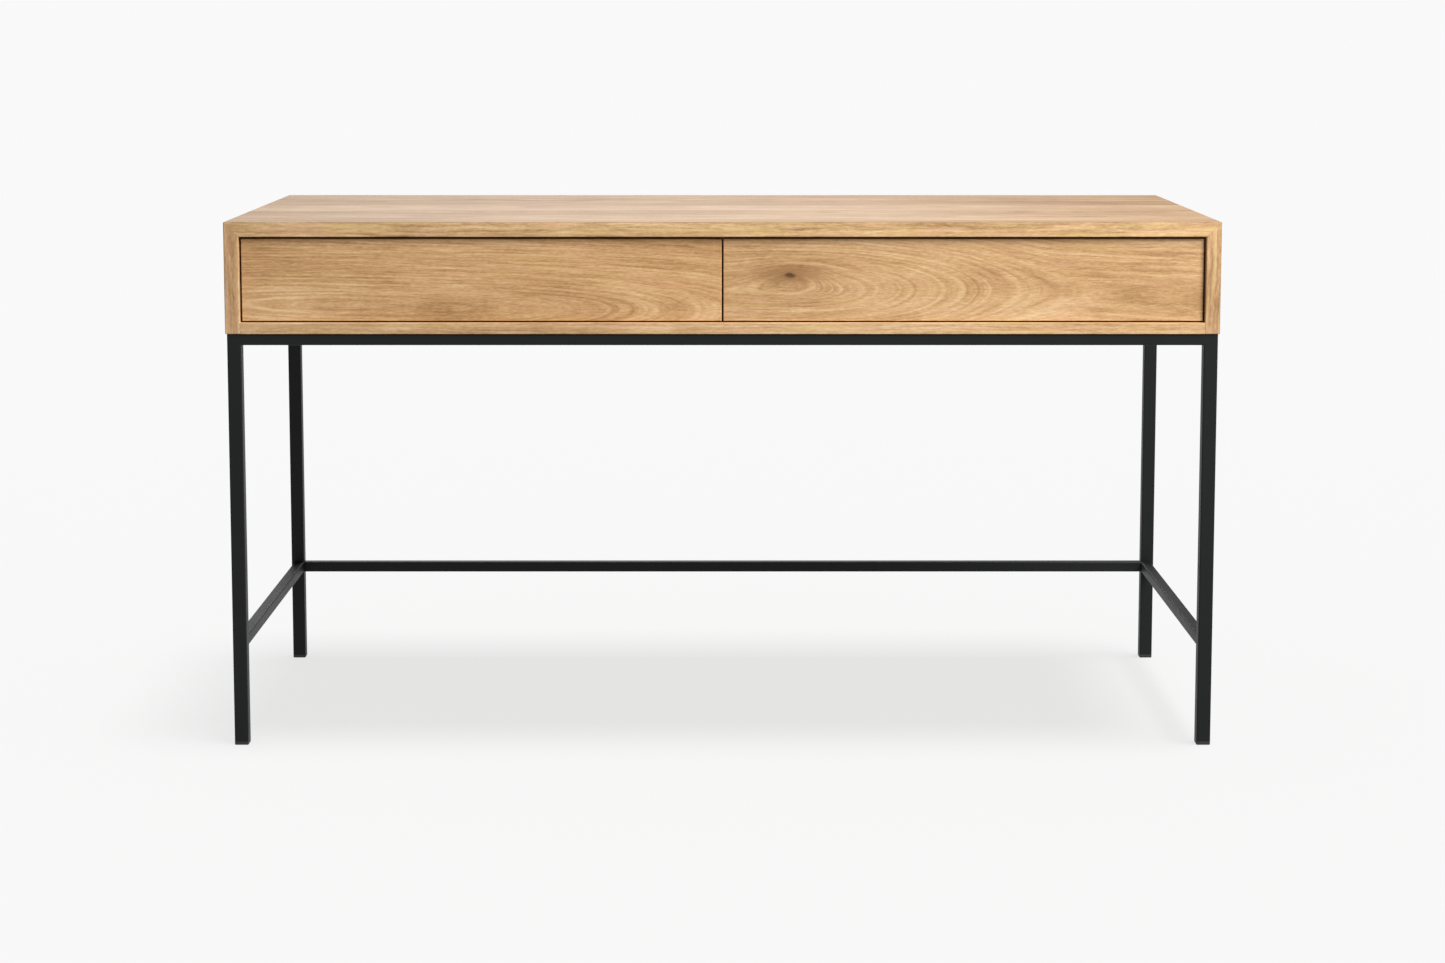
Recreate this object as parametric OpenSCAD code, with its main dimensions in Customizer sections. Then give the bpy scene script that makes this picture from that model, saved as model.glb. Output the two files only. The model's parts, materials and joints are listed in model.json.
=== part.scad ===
// Writing desk: a mitred oak case with two push-to-open drawers on a welded frame of
// square steel tube.
// Origin: the middle of the footprint, on the floor. X runs to the right, Y to the back
// and Z up, so the drawers open along -Y. Left and right are those of the person seated.

/* [Desk] */
// Overall width
desk_w = 1400; // [1200:10:1800]
// Overall depth
desk_d = 600; // [590:10:700]
// Height of the desktop above the floor
desk_h = 750; // [700:5:780]

/* [Case] */
// Height of the wooden case
case_h = 158; // [152:1:180]
// Thickness of the top and side panels
panel_t = 21; // [19:1:25]
// Thickness of the bottom panel
bottom_t = 16; // [15:1:20]
// Thickness of the back panel
back_t = 12; // [10:1:16]
// Thickness of the divider between the drawers
divider_t = 16; // [16:1:20]

/* [Drawer fronts] */
// Thickness of a drawer front
front_t = 19; // [18:1:22]
// How far the drawer fronts stand back from the front edges of the case
front_recess = 6; // [4:1:10]
// Gap beside a drawer front, and between the two fronts
side_gap = 2.5; // [2:0.5:3]
// Gap above a drawer front
top_gap = 3; // [2:0.5:4]
// Gap below a drawer front
bottom_gap = 2; // [2:0.5:3]

/* [Drawer boxes] */
// Thickness of the front, back and sides of a drawer box
box_t = 12; // [12:1:15]
// Height of a drawer box
box_h = 90; // [80:1:95]
// Thickness of the board that closes a drawer box below
base_t = 6; // [4:0.5:8]
// Number of fingers in each corner joint, counted over both boards
fingers = 5; // [3:2:9]

/* [Runners] */
// Length of a runner, which is also the length of a drawer box
runner_l = 450; // [400:50:450]
// Height of a runner
runner_h = 45; // [42:1:48]
// Space that a runner takes between the case and a drawer box
runner_w = 12.7; // [12.7:0.1:13.5]
// Thickness of the runners' sheet steel
sheet_t = 1.2; // [1:0.1:1.4]

/* [Steel base] */
// Width of the square tube of the legs
leg_w = 20; // [18:1:30]
// Width of the square tube of the rails and stretchers
rail_w = 16; // [14:1:18]
// Wall of the tubes
tube_wall = 2; // [1.5:0.5:2.5]
// How far the legs stand in from the front and the sides of the case
base_inset = 2; // [0:1:10]
// How far the back legs stand in from the back of the case
rear_inset = 30; // [0:5:60]
// Height of the stretchers' top faces above the floor
stretcher_z = 158; // [120:1:220]
// Height of the part of a foot glide that shows below its leg
glide_h = 5; // [3:1:10]

/* [Push latches] */
// Radius of a latch's plunger
plunger_r = 4; // [3:0.5:5]
// Gap between a plunger and its closed drawer, which lets the drawer be pushed in
latch_gap = 3; // [2.8:0.1:4]

/* [Hidden] */
$fn = 48;
LEFT = -1;
RIGHT = 1;
SIDES = [LEFT, RIGHT];
overlap = 0.5;        // how far a cutter passes the face it cuts
fit = 0.05;           // clearance all round a dowel or a screw in its hole
running = 0.08;       // clearance all round a latch's plunger in its bore

// The case
case_z = desk_h - case_h;
front_y = -desk_d / 2;
back_y = desk_d / 2;
inner_x = desk_w / 2 - panel_t;
bay_z = [case_z + bottom_t, desk_h - panel_t];
divider_setback = 4;
divider_y = front_y + front_recess + front_t + divider_setback;

// Dowels of the case
dowel_r = 4;
butt_dowel_l = 30;
butt_dowel_in_side = 12;
mitre_dowel_l = 18;
dowel_depth_spare = 1;
dowels_in_row = 4;
dowel_ys = [for (k = [1:dowels_in_row]) (k - 0.5) * desk_d / dowels_in_row - desk_d / 2];

// One drawer, drawn for the left bay and mirrored for the right one
face_x = [-inner_x + side_gap, -side_gap / 2];
face_y = [front_y + front_recess, front_y + front_recess + front_t];
face_z = [bay_z[0] + bottom_gap, bay_z[1] - top_gap];
box_x = [-inner_x + runner_w, -divider_t / 2 - runner_w];
box_y = [face_y[1], face_y[1] + runner_l];
box_lift = 8;         // room under a drawer box
box_z = [bay_z[0] + box_lift, bay_z[0] + box_lift + box_h];
finger_h = box_h / fingers;
finger_play = 0.02;
groove_lift = 6;      // wood left under the groove for the bottom board
groove_z = box_z[0] + groove_lift;
groove_d = 6;
groove_play = 0.1;

// Runner sections, in the order case, middle and drawer member: three channels, one
// inside the other, whose steps in height leave room for a row of 3.2 mm balls
runner_z = (box_z[0] + box_z[1]) / 2;
runner_setback = 3;
runner_y = [box_y[0] + runner_setback, box_y[1]];
member_h = [runner_h, runner_h - 7.8, runner_h - 17];
member_d = [9.5, 8.5, 8.5];
member_lip = [2.6, 3, sheet_t];
middle_x = 2;         // how far the middle member's web stands off the case
hole_pitch = 32;
screw_pitch = [hole_pitch, runner_l / 2, runner_l - hole_pitch];

// Screws: [shank radius, length, head radius, head height]
runner_screw = [1.75, 8.5, 3.2, sheet_t];
front_screw = [2, 25, 4, 2.2];
base_screw = [2.25, 15, 4.5, 2.5];
front_screw_x = [for (k = [0.12, 0.5, 0.88]) box_x[0] + k * (box_x[1] - box_x[0])];
front_screw_z = [box_z[0] + box_h * 0.28, box_z[0] + box_h * 0.72];

// Push latches, on the back panel behind the middle of each drawer
latch_x = (box_x[0] + box_x[1]) / 2;
latch_z = runner_z;
striker_r = 9;
striker_t = 1.5;
flange = [34, 3, 20];
flange_screw_x = 12;
housing_r = 8;
plunger_tip = [plunger_r + 1.5, 4];
tip_to_housing = 2.5;
plunger_y = box_y[1] + striker_t + latch_gap;
housing_y = plunger_y + plunger_tip[1] + tip_to_housing;
bore_end = 6;

// The steel base
leg_x = [desk_w / 2 - base_inset - leg_w, desk_w / 2 - base_inset];
front_leg_y = front_y + base_inset;
back_leg_y = back_y - rear_inset - leg_w;
tube_corner = 2;
plug_h = 15;
plug_play = 0.15;
bracket = [30, 30, 3];
bracket_x = [-0.36 * desk_w, 0, 0.36 * desk_w];

// ---- Shapes that several pieces share ----

// A box between two corners
module block(low, high) {
    translate(low) cube(high - low);
}

// Carries an outline drawn in X and Z along Y
module along_y(from, to) {
    translate([0, to, 0]) rotate([90, 0, 0]) linear_extrude(to - from) children();
}

// Carries an outline drawn in Y and Z along X
module along_x(from, to) {
    translate([from, 0, 0]) rotate([90, 0, 90]) linear_extrude(to - from) children();
}

// What is drawn for the left side, put on either side of the desk
module on_side(side) {
    mirror([side == RIGHT ? 1 : 0, 0, 0]) children();
}

// A square tube's section, or its filled outline when wall is 0
module tube_section(w, wall = 0) {
    difference() {
        offset(r = tube_corner, $fn = 24) square(w - 2 * tube_corner, center = true);
        if (wall > 0) square(w - 2 * wall, center = true);
    }
}

// A screw lying along -Z, with its head's face at z = 0; play makes it a hole instead
module countersunk_screw(size, play = 0) {
    translate([0, 0, -size[1] - play]) cylinder(r = size[0] + play, h = size[1] + play);
    translate([0, 0, -size[3]]) cylinder(r1 = size[0] + play, r2 = size[2] + play, h = size[3]);
}

// ---- Where the fasteners go ----

// Ends, in the side panel, of the dowels that carry the bottom panel
module at_butt_dowels(side) {
    on_side(side) for (y = dowel_ys)
        translate([-inner_x - butt_dowel_in_side, y, case_z + bottom_t / 2])
            rotate([0, 90, 0]) children();
}

// Mid-length of the dowels that cross the mitres square to the glued faces
module at_mitre_dowels(side) {
    on_side(side) for (y = dowel_ys)
        translate([-desk_w / 2 + panel_t / 2, y, desk_h - panel_t / 2])
            rotate([0, 45, 0]) children();
}

// Screws of the case members and the latches; the head looks into the bay
module at_case_screws(side) {
    on_side(side) {
        for (y = screw_pitch) translate([0, runner_y[0] + y, runner_z]) {
            translate([-inner_x + sheet_t, 0, 0]) rotate([0, 90, 0]) children();
            translate([-divider_t / 2 - sheet_t, 0, 0]) rotate([0, -90, 0]) children();
        }
        for (dx = [-flange_screw_x, flange_screw_x])
            translate([latch_x + dx, back_y - back_t - flange[1], latch_z])
                rotate([90, 0, 0]) children();
    }
}

// Screws that hold the drawer members to the box; the head looks away from the box
module at_drawer_runner_screws(side) {
    on_side(side) for (y = screw_pitch) translate([0, runner_y[0] + y, runner_z]) {
        translate([box_x[0] - sheet_t, 0, 0]) rotate([0, -90, 0]) children();
        translate([box_x[1] + sheet_t, 0, 0]) rotate([0, 90, 0]) children();
    }
}

// Screws through the box front into the drawer front; the head looks into the box
module at_front_screws(side) {
    on_side(side) for (x = front_screw_x, z = front_screw_z)
        translate([x, box_y[0] + box_t, z]) rotate([-90, 0, 0]) children();
}

// The middles of the brackets' undersides
module at_brackets() {
    z = case_z - bracket[2];
    for (x = bracket_x) {
        translate([x, front_leg_y + rail_w + bracket[1] / 2, z]) children();
        translate([x, back_leg_y - bracket[1] / 2, z]) children();
    }
    for (side = SIDES)
        translate([side * (leg_x[0] - bracket[0] / 2), 0, z]) children();
}

// ---- Case ----

module butt_dowel(play = 0, spare = 0) {
    translate([0, 0, -spare]) cylinder(r = dowel_r + play, h = butt_dowel_l + 2 * spare);
}

module mitre_dowel(play = 0, spare = 0) {
    cylinder(r = dowel_r + play, h = mitre_dowel_l + 2 * spare, center = true);
}

module case_screw_holes() {
    for (side = SIDES) at_case_screws(side) countersunk_screw(runner_screw, fit);
}

// The top, mitred at both ends so that its grain turns down into the sides
module top_panel() {
    color("tan") difference() {
        along_y(front_y, back_y) polygon([
            [-desk_w / 2, desk_h], [desk_w / 2, desk_h],
            [inner_x, desk_h - panel_t], [-inner_x, desk_h - panel_t]
        ]);
        for (side = SIDES) at_mitre_dowels(side) mitre_dowel(fit, dowel_depth_spare);
    }
}

module side_panel(side) {
    color("tan") difference() {
        on_side(side) along_y(front_y, back_y) polygon([
            [-desk_w / 2, case_z], [-desk_w / 2, desk_h],
            [-inner_x, desk_h - panel_t], [-inner_x, case_z]
        ]);
        at_mitre_dowels(side) mitre_dowel(fit, dowel_depth_spare);
        at_butt_dowels(side) butt_dowel(fit, dowel_depth_spare);
        case_screw_holes();
    }
}

module bottom_panel() {
    color("tan") difference() {
        block([-inner_x, front_y, case_z], [inner_x, back_y, case_z + bottom_t]);
        for (side = SIDES) at_butt_dowels(side) butt_dowel(fit, dowel_depth_spare);
        at_brackets() translate([0, 0, bracket[2] - overlap])
            cylinder(r = base_screw[0] + fit, h = base_screw[1] - bracket[2] + overlap + fit);
    }
}

module back_panel() {
    color("tan") difference() {
        block([-inner_x, back_y - back_t, bay_z[0]], [inner_x, back_y, bay_z[1]]);
        case_screw_holes();
    }
}

module centre_divider() {
    color("burlywood") difference() {
        block([-divider_t / 2, divider_y, bay_z[0]],
              [divider_t / 2, back_y - back_t, bay_z[1]]);
        case_screw_holes();
    }
}

module carcass_dowels() {
    color("wheat") for (side = SIDES) {
        at_butt_dowels(side) butt_dowel();
        at_mitre_dowels(side) mitre_dowel();
    }
}

module case_screws() {
    color("gold") for (side = SIDES) at_case_screws(side) countersunk_screw(runner_screw);
}

// ---- Drawers ----

module drawer_front(side) {
    color("burlywood") difference() {
        on_side(side) block([face_x[0], face_y[0], face_z[0]], [face_x[1], face_y[1], face_z[1]]);
        at_front_screws(side) countersunk_screw(front_screw, fit);
    }
}

// The fingers that a box's side has at one end, and its front and back leave open
module side_fingers(y, play = 0) {
    for (k = [0:2:fingers - 1]) {
        z = box_z[0] + k * finger_h;
        block([box_x[0] - overlap, y - play, z - play],
              [box_x[0] + box_t, y + box_t + play, z + finger_h + play]);
    }
}

// The groove for the bottom board, as the space it takes in every board it enters
module base_groove() {
    block([box_x[0] + box_t - groove_d, box_y[0] + box_t - groove_d, groove_z],
          [box_x[1] - box_t + groove_d, box_y[1] - box_t + groove_d, groove_z + base_t]);
}

// Swaps the two ends of a drawer box, left for right
module other_end() {
    translate([box_x[0] + box_x[1], 0, 0]) mirror([1, 0, 0]) children();
}

// A side board, drawn at the outer end of the box
module box_side_board() {
    intersection() {
        block([box_x[0], box_y[0], box_z[0]], [box_x[0] + box_t, box_y[1], box_z[1]]);
        union() {
            block([box_x[0] - overlap, box_y[0] + box_t, box_z[0] - overlap],
                  [box_x[1], box_y[1] - box_t, box_z[1] + overlap]);
            side_fingers(box_y[0]);
            side_fingers(box_y[1] - box_t);
        }
    }
}

module drawer_box_side(side, outer) {
    color("bisque") difference() {
        on_side(side) difference() {
            if (outer) box_side_board();
            else other_end() box_side_board();
            base_groove();
        }
        at_drawer_runner_screws(side) countersunk_screw(runner_screw, fit);
    }
}

// A front or back board whose outer or inner face is at y
module box_end_board(y) {
    difference() {
        block([box_x[0], y, box_z[0]], [box_x[1], y + box_t, box_z[1]]);
        side_fingers(y, finger_play);
        other_end() side_fingers(y, finger_play);
        base_groove();
    }
}

module drawer_box_front(side) {
    color("bisque") difference() {
        on_side(side) box_end_board(box_y[0]);
        at_front_screws(side) countersunk_screw(front_screw, fit);
    }
}

module drawer_box_back(side) {
    color("bisque") on_side(side) box_end_board(box_y[1] - box_t);
}

module drawer_box_bottom(side) {
    reach = groove_d - 4 * groove_play;
    color("linen") on_side(side) block(
        [box_x[0] + box_t - reach, box_y[0] + box_t - reach, groove_z + groove_play],
        [box_x[1] - box_t + reach, box_y[1] - box_t + reach, groove_z + base_t - groove_play]);
}

module drawer_front_screws(side) {
    color("gold") at_front_screws(side) countersunk_screw(front_screw);
}

module drawer_runner_screws(side) {
    color("gold") at_drawer_runner_screws(side) countersunk_screw(runner_screw);
}

// The steel disc that the latch's plunger pushes on
module drawer_striker(side) {
    color("silver") on_side(side) translate([latch_x, box_y[1], latch_z])
        rotate([-90, 0, 0]) cylinder(r = striker_r, h = striker_t);
}

// ---- Runners ----

// A channel open to +X, with its web's back at x = 0 and lips turned in at its mouth
module channel(d, h, lip) {
    difference() {
        translate([0, -h / 2]) square([d, h]);
        translate([sheet_t, sheet_t - h / 2]) square([d - 2 * sheet_t, h - 2 * sheet_t]);
        translate([sheet_t, lip - h / 2]) square([d, h - 2 * lip]);
    }
}

// Puts a runner drawn for the outer wall of the left bay at place 1 to 4, left to right
module at_runner(place) {
    on_side(place > 2 ? RIGHT : LEFT) {
        if (place == 1 || place == 4) translate([-inner_x, 0, runner_z]) children();
        else translate([-divider_t / 2, 0, runner_z]) mirror([1, 0, 0]) children();
    }
}

module runner_holes(web_x) {
    for (y = screw_pitch) translate([web_x, runner_y[0] + y, 0]) rotate([0, 90, 0])
        countersunk_screw(runner_screw, fit);
}

module runner_case_member(place) {
    color("lightsteelblue") at_runner(place) difference() {
        along_y(runner_y[0], runner_y[1]) channel(member_d[0], member_h[0], member_lip[0]);
        runner_holes(sheet_t);
    }
}

module runner_middle_member(place) {
    color("silver") at_runner(place) translate([middle_x, 0, 0])
        along_y(runner_y[0], runner_y[1]) channel(member_d[1], member_h[1], member_lip[1]);
}

module runner_drawer_member(place) {
    color("lightgray") at_runner(place) translate([runner_w, 0, 0]) mirror([1, 0, 0])
        difference() {
            along_y(runner_y[0], runner_y[1])
                channel(member_d[2], member_h[2], member_lip[2]);
            runner_holes(sheet_t);
        }
}

// ---- Push latches ----

module latch_housing(side) {
    color("dimgray") difference() {
        on_side(side) difference() {
            union() {
                translate([latch_x, back_y - back_t, latch_z]) rotate([90, 0, 0])
                    cylinder(r = housing_r, h = back_y - back_t - housing_y);
                block([latch_x - flange[0] / 2, back_y - back_t - flange[1],
                       latch_z - flange[2] / 2],
                      [latch_x + flange[0] / 2, back_y - back_t, latch_z + flange[2] / 2]);
            }
            translate([latch_x, back_y - back_t - bore_end, latch_z]) rotate([90, 0, 0])
                cylinder(r = plunger_r + running, h = back_y - housing_y);
        }
        case_screw_holes();
    }
}

module latch_plunger(side) {
    rod = back_y - back_t - bore_end - 2 * tip_to_housing - plunger_y;
    color("gray") on_side(side) translate([latch_x, plunger_y, latch_z]) rotate([-90, 0, 0]) {
        cylinder(r = plunger_tip[0], h = plunger_tip[1]);
        cylinder(r = plunger_r, h = rod);
    }
}

// ---- Steel base ----

function leg_y(back) = back ? back_leg_y : front_leg_y;

module at_leg(side, back) {
    translate([side * (leg_x[0] + leg_x[1]) / 2, leg_y(back) + leg_w / 2, 0]) children();
}

module leg(side, back) {
    color("#26282a") at_leg(side, back) translate([0, 0, glide_h])
        linear_extrude(case_z - glide_h) tube_section(leg_w, tube_wall);
}

// A plastic plug in the foot of a leg, with its lower edge rounded over
module glide(side, back) {
    ease = 1.5;
    color("#101010") at_leg(side, back) {
        hull() {
            linear_extrude(glide_h - ease) tube_section(leg_w - 2 * ease);
            translate([0, 0, ease]) linear_extrude(glide_h - ease) tube_section(leg_w);
        }
        translate([0, 0, glide_h]) linear_extrude(plug_h)
            square(leg_w - 2 * tube_wall - 2 * plug_play, center = true);
    }
}

// A tube across the desk between two legs, with its front face at y and its top at z
module cross_tube(y, z) {
    color("#26282a") along_x(-leg_x[0], leg_x[0])
        translate([y + rail_w / 2, z - rail_w / 2]) tube_section(rail_w, tube_wall);
}

// A tube from a front leg to the back leg behind it, flush with the legs' inner faces
module side_tube(side, z) {
    color("#26282a") on_side(side) along_y(front_leg_y + leg_w, back_leg_y)
        translate([-leg_x[0] - rail_w / 2, z - rail_w / 2]) tube_section(rail_w, tube_wall);
}

// Plates welded to the rails, through which the case is screwed down
module base_brackets() {
    color("#26282a") at_brackets() translate([0, 0, bracket[2] / 2]) difference() {
        cube(bracket, center = true);
        cylinder(r = base_screw[0] + fit, h = bracket[2] + overlap, center = true);
    }
}

// Pan-head screws that go up through the brackets into the bottom panel
module base_screws() {
    color("#202020") at_brackets() {
        cylinder(r = base_screw[0], h = base_screw[1]);
        translate([0, 0, -base_screw[3]]) cylinder(r = base_screw[2], h = base_screw[3]);
    }
}

// ---- The nodes ----

top_panel();
side_panel(LEFT);  // left_side_panel
side_panel(RIGHT);  // right_side_panel
bottom_panel();
back_panel();
centre_divider();
carcass_dowels();
case_screws();

drawer_front(LEFT);  // left_drawer_front
drawer_box_front(LEFT);  // left_drawer_box_front
drawer_box_side(LEFT, true);  // left_drawer_box_left
drawer_box_side(LEFT, false);  // left_drawer_box_right
drawer_box_back(LEFT);  // left_drawer_box_back
drawer_box_bottom(LEFT);  // left_drawer_box_bottom
drawer_front_screws(LEFT);  // left_drawer_front_screws
drawer_runner_screws(LEFT);  // left_drawer_runner_screws
drawer_striker(LEFT);  // left_drawer_striker

drawer_front(RIGHT);  // right_drawer_front
drawer_box_front(RIGHT);  // right_drawer_box_front
drawer_box_side(RIGHT, false);  // right_drawer_box_left
drawer_box_side(RIGHT, true);  // right_drawer_box_right
drawer_box_back(RIGHT);  // right_drawer_box_back
drawer_box_bottom(RIGHT);  // right_drawer_box_bottom
drawer_front_screws(RIGHT);  // right_drawer_front_screws
drawer_runner_screws(RIGHT);  // right_drawer_runner_screws
drawer_striker(RIGHT);  // right_drawer_striker

runner_case_member(1);  // runner_1_case_member
runner_middle_member(1);  // runner_1_middle_member
runner_drawer_member(1);  // runner_1_drawer_member
runner_case_member(2);  // runner_2_case_member
runner_middle_member(2);  // runner_2_middle_member
runner_drawer_member(2);  // runner_2_drawer_member
runner_case_member(3);  // runner_3_case_member
runner_middle_member(3);  // runner_3_middle_member
runner_drawer_member(3);  // runner_3_drawer_member
runner_case_member(4);  // runner_4_case_member
runner_middle_member(4);  // runner_4_middle_member
runner_drawer_member(4);  // runner_4_drawer_member

latch_housing(LEFT);  // left_latch_housing
latch_plunger(LEFT);  // left_latch_plunger
latch_housing(RIGHT);  // right_latch_housing
latch_plunger(RIGHT);  // right_latch_plunger

leg(LEFT, false);  // front_left_leg
leg(RIGHT, false);  // front_right_leg
leg(LEFT, true);  // back_left_leg
leg(RIGHT, true);  // back_right_leg
glide(LEFT, false);  // front_left_glide
glide(RIGHT, false);  // front_right_glide
glide(LEFT, true);  // back_left_glide
glide(RIGHT, true);  // back_right_glide

cross_tube(front_leg_y, case_z);  // front_rail
cross_tube(back_leg_y, case_z);  // back_rail
side_tube(LEFT, case_z);  // left_rail
side_tube(RIGHT, case_z);  // right_rail
side_tube(LEFT, stretcher_z);  // left_stretcher
side_tube(RIGHT, stretcher_z);  // right_stretcher
cross_tube(back_leg_y, stretcher_z);  // back_stretcher
base_brackets();
base_screws();
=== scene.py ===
# %% [markdown]
# # A writing desk in oak and black steel
#
# The desk is a shallow oak case with two push-to-open drawers, on a welded base of square
# tube. The CAD model already holds every part at its true size and place, so this lesson
# is about looks: boards with eased edges, oak that is drawn as a real tree grows, black
# powder coat, and a bright studio to see them in.

import json
import math

import bpy
import numpy as np
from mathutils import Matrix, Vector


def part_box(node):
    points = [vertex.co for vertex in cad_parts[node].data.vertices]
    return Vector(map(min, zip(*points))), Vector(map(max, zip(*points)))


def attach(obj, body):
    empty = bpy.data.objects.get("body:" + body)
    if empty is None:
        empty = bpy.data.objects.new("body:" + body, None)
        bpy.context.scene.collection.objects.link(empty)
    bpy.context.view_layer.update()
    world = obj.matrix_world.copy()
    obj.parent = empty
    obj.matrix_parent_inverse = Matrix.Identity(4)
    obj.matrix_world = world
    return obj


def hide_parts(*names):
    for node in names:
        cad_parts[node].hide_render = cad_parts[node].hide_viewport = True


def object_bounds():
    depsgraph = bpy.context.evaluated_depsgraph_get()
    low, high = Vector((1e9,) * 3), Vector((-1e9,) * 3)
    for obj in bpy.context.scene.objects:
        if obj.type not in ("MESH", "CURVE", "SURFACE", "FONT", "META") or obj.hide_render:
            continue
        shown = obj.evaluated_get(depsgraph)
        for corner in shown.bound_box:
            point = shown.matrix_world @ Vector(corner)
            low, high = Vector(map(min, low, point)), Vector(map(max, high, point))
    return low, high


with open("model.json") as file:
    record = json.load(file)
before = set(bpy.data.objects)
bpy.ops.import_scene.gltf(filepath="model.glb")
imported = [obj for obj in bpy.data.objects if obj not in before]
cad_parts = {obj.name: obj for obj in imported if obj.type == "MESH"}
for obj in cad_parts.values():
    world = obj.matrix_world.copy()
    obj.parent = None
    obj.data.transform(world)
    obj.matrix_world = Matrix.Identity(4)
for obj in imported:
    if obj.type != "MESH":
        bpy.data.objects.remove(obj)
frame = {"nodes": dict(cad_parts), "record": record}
cad_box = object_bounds()
low, high = (np.array(corner) for corner in cad_box)
print("the desk measures", np.round(high - low, 4), "metres")

# %% [markdown]
# ## The camera
#
# The desk is seen from straight in front and a little above its top, with a long lens, so
# that its verticals stay nearly upright. A long lens from far back flattens the case as a
# catalogue picture does; a short one from close by would splay the legs. The lens is
# lowered a little in its mount (a negative vertical shift), because that keeps the camera
# level for longer than tilting it would.

# %% The camera
CAMERA_DISTANCE = 3.9       # from the front of the case
CAMERA_HEIGHT = 1.035
CAMERA_TILT = 6.33          # degrees below the horizon
CAMERA_LENS = 69.5          # mm, on a 36 mm wide sensor
CAMERA_SHIFT = -0.107       # of the picture's width

lens = bpy.data.cameras.new("camera")
lens.sensor_width = 36.0
lens.lens = CAMERA_LENS
lens.shift_y = CAMERA_SHIFT
lens.clip_end = 200.0
camera = bpy.data.objects.new("camera", lens)
camera.location = (0.0, low[1] - CAMERA_DISTANCE, CAMERA_HEIGHT)
camera.rotation_euler = (math.radians(90.0 - CAMERA_TILT), 0.0, 0.0)
bpy.context.scene.collection.objects.link(camera)
bpy.context.scene.camera = camera
print("the camera stands", CAMERA_DISTANCE, "m in front and", CAMERA_HEIGHT, "m up")

# %% [markdown]
# ## Outlines with eased corners
#
# No joiner leaves an edge sharp: it is eased with a few strokes of fine paper, and the
# thin bright line that the light draws along it is what makes a board look like wood.
# Each outline here is a ring of corners. A corner has a centre and a fan of directions,
# and a point of the outline is `centre + (radius - inset) * direction`. With an inset of
# 0 that is the board's full outline; as the inset grows to the radius the outline shrinks
# evenly onto the corner centres, which is what rounds the ends of the board over.

# %% Outlines
EASE_STEPS = 5              # facets in a quarter circle


def fan(start, stop):
    """Unit directions (cos a, sin a), for a from start to stop in degrees."""
    angle = np.radians(np.linspace(start, stop, EASE_STEPS + 1))
    return np.stack([np.cos(angle), np.sin(angle)], 1)


def outline(corners):
    """Rings of corner centres, of directions, and of the two normals of each strip.

    A strip joins point i to point i + 1. Inside a fan its normals are the directions at
    its ends, so the arc shades as a curve; between fans both are the flat side's normal,
    which is the chord from point to point turned by a quarter."""
    centres = np.concatenate([np.repeat([c], len(d), 0) for c, d in corners])
    directions = np.concatenate([d for _, d in corners])
    owner = np.repeat(np.arange(len(corners)), [len(d) for _, d in corners])
    points = centres + directions * 1e-3
    chord = np.roll(points, -1, 0) - points
    flat = np.stack([chord[:, 1], -chord[:, 0]], 1)
    flat /= np.linalg.norm(flat, axis=1, keepdims=True)
    inside = (owner == np.roll(owner, -1))[:, None]
    return centres, directions, np.where(inside, directions, flat), np.where(
        inside, np.roll(directions, -1, 0), flat)


def rounded_rectangle(a_low, a_high, b_low, b_high, radius):
    """The corners of a rectangle, anticlockwise, each an arc of the given radius."""
    return [
        (np.array([a_low + radius, b_low + radius]), fan(180, 270)),
        (np.array([a_high - radius, b_low + radius]), fan(270, 360)),
        (np.array([a_high - radius, b_high - radius]), fan(0, 90)),
        (np.array([a_low + radius, b_high - radius]), fan(90, 180)),
    ]


print("an eased edge has", EASE_STEPS, "facets in its quarter circle")

# %% [markdown]
# ## Carrying an outline along a board
#
# A board, a steel tube and a plastic foot are all one outline carried in a straight line.
# A cube with a Bevel modifier would do, but its ends and its mitres would have to be cut
# afterwards; carrying the outline gives the mitre, the eased long edges and the rounded
# ends in one surface. The normals are written down with the shape, so that wide faces
# stay perfectly flat in the light and only the eased edges curve.

# %% Boards and bars
PLANES = {"x": (0, 1, 2), "y": (1, 0, 2), "z": (2, 0, 1)}   # the axis, then a and b


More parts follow.
